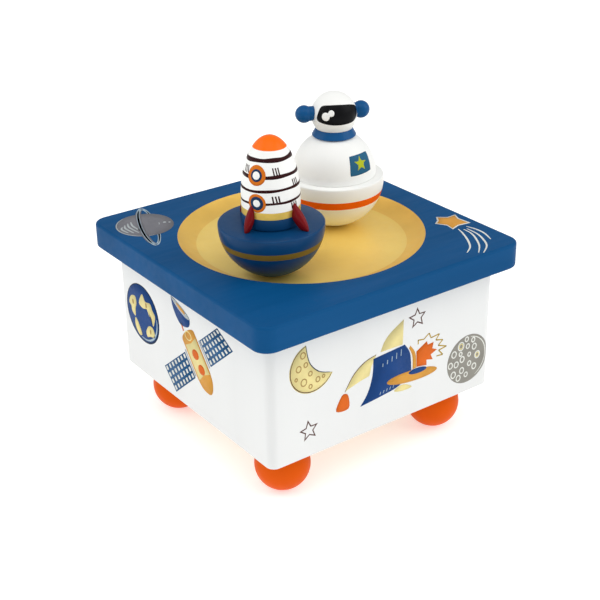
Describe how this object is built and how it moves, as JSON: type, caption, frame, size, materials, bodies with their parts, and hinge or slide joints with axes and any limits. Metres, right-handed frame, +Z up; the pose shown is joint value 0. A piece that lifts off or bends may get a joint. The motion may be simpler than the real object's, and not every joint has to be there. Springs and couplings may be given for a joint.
{
  "type": "music box",
  "caption": "Square wooden wind-up music box on ball feet, with a round dish in its lid where a rocket and an astronaut figure circle, drawn by magnets from a movement inside.",
  "frame": {"origin": "on the floor, under the middle of the square lid", "axes": "+Z up along the spindle, -Y towards the front panel, +X to the right of the front panel"},
  "size_m": [0.115, 0.115, 0.1266],
  "materials": {
    "blue_paint": "satin blue paint on wood",
    "white_paint": "satin off-white paint on wood",
    "orange_paint": "gloss orange paint on wood",
    "red_paint": "satin deep red paint on wood",
    "plain_wood": "unfinished",
    "steel": "plain",
    "spring_steel": "blued",
    "brass": "polished",
    "zinc": "die-cast",
    "magnet": "nickel plated"
  },
  "bodies": {
    "case": {"lid_board": "blue_paint", "front_panel": "white_paint", "back_panel": "white_paint", "left_panel": "white_paint", "right_panel": "white_paint", "base_board": "plain_wood", "foot_front_left": "orange_paint", "foot_front_right": "orange_paint", "foot_back_left": "orange_paint", "foot_back_right": "orange_paint", "foot_screws": "steel", "base_cleats": "plain_wood", "base_screws": "steel", "bedplate": "zinc", "movement_screws": "steel", "spring_barrel": "brass", "mainspring": "spring_steel", "comb": "steel", "comb_screws": "steel", "inner_bearing": "zinc", "outer_bearing": "zinc", "governor_frame": "zinc"},
    "arbor": {"winding_arbor": "steel", "ratchet_wheel": "brass", "winding_key": "brass"},
    "turntable": {"crown_wheel": "brass", "click": "spring_steel", "drive_shaft": "steel", "magnet_arm": "steel", "drive_magnets": "magnet", "arm_screw": "steel"},
    "cylinder": {"music_cylinder": "brass", "cylinder_pins": "steel", "cylinder_shaft": "steel", "cylinder_pinion": "brass", "cylinder_gear": "brass"},
    "governor": {"governor_pinion": "brass", "worm_wheel": "brass", "governor_shaft": "steel"},
    "fly": {"fly_worm": "steel", "fly": "steel"},
    "rocket_foot": {"rocket_magnet": "magnet"},
    "rocket": {"rocket_base": "blue_paint", "rocket_body": "white_paint", "rocket_dowel": "plain_wood", "rocket_fin_1": "red_paint", "rocket_fin_2": "red_paint", "rocket_fin_3": "red_paint", "rocket_fin_4": "red_paint"},
    "astronaut_foot": {"astronaut_magnet": "magnet"},
    "astronaut": {"astronaut_base": "white_paint", "astronaut_dome": "white_paint", "astronaut_collar": "blue_paint", "astronaut_head": "white_paint", "astronaut_ear_right": "blue_paint", "astronaut_ear_left": "blue_paint", "body_dowel": "plain_wood", "neck_dowel": "plain_wood"}
  },
  "joints": [
    {"name": "key_turn", "type": "hinge", "parent": "case", "child": "arbor", "pos_m": [0, 0, 0.012], "axis": [0, 0, 1], "continuous": true},
    {"name": "spindle", "type": "hinge", "parent": "case", "child": "turntable", "pos_m": [0, 0, 0.0412], "axis": [0, 0, 1], "continuous": true},
    {"name": "cylinder_spin", "type": "hinge", "parent": "case", "child": "cylinder", "pos_m": [0.025, 0, 0.04485], "axis": [1, 0, 0], "continuous": true},
    {"name": "governor_spin", "type": "hinge", "parent": "case", "child": "governor", "pos_m": [0.031, 0.012, 0.04485], "axis": [1, 0, 0], "continuous": true},
    {"name": "fly_spin", "type": "hinge", "parent": "case", "child": "fly", "pos_m": [0.031, 0.0176, 0.04485], "axis": [0, 0, 1], "continuous": true},
    {"name": "rocket_lift", "type": "slide", "parent": "turntable", "child": "rocket_foot", "axis": [0, 0, 1], "range_m": [0, 0.06]},
    {"name": "rocket_spin", "type": "hinge", "parent": "rocket_foot", "child": "rocket", "pos_m": [-0.02438, -0.01607, 0.07525], "axis": [0, 0, 1], "continuous": true},
    {"name": "astronaut_lift", "type": "slide", "parent": "turntable", "child": "astronaut_foot", "axis": [0, 0, 1], "range_m": [0, 0.06]},
    {"name": "astronaut_spin", "type": "hinge", "parent": "astronaut_foot", "child": "astronaut", "pos_m": [0.02006, 0.00621, 0.07525], "axis": [0, 0, 1], "continuous": true}
  ],
  "couplings": [
    {"joint": "cylinder_spin", "follows": "spindle", "ratio": 4},
    {"joint": "governor_spin", "follows": "spindle", "ratio": -12},
    {"joint": "fly_spin", "follows": "spindle", "ratio": 96}
  ]
}
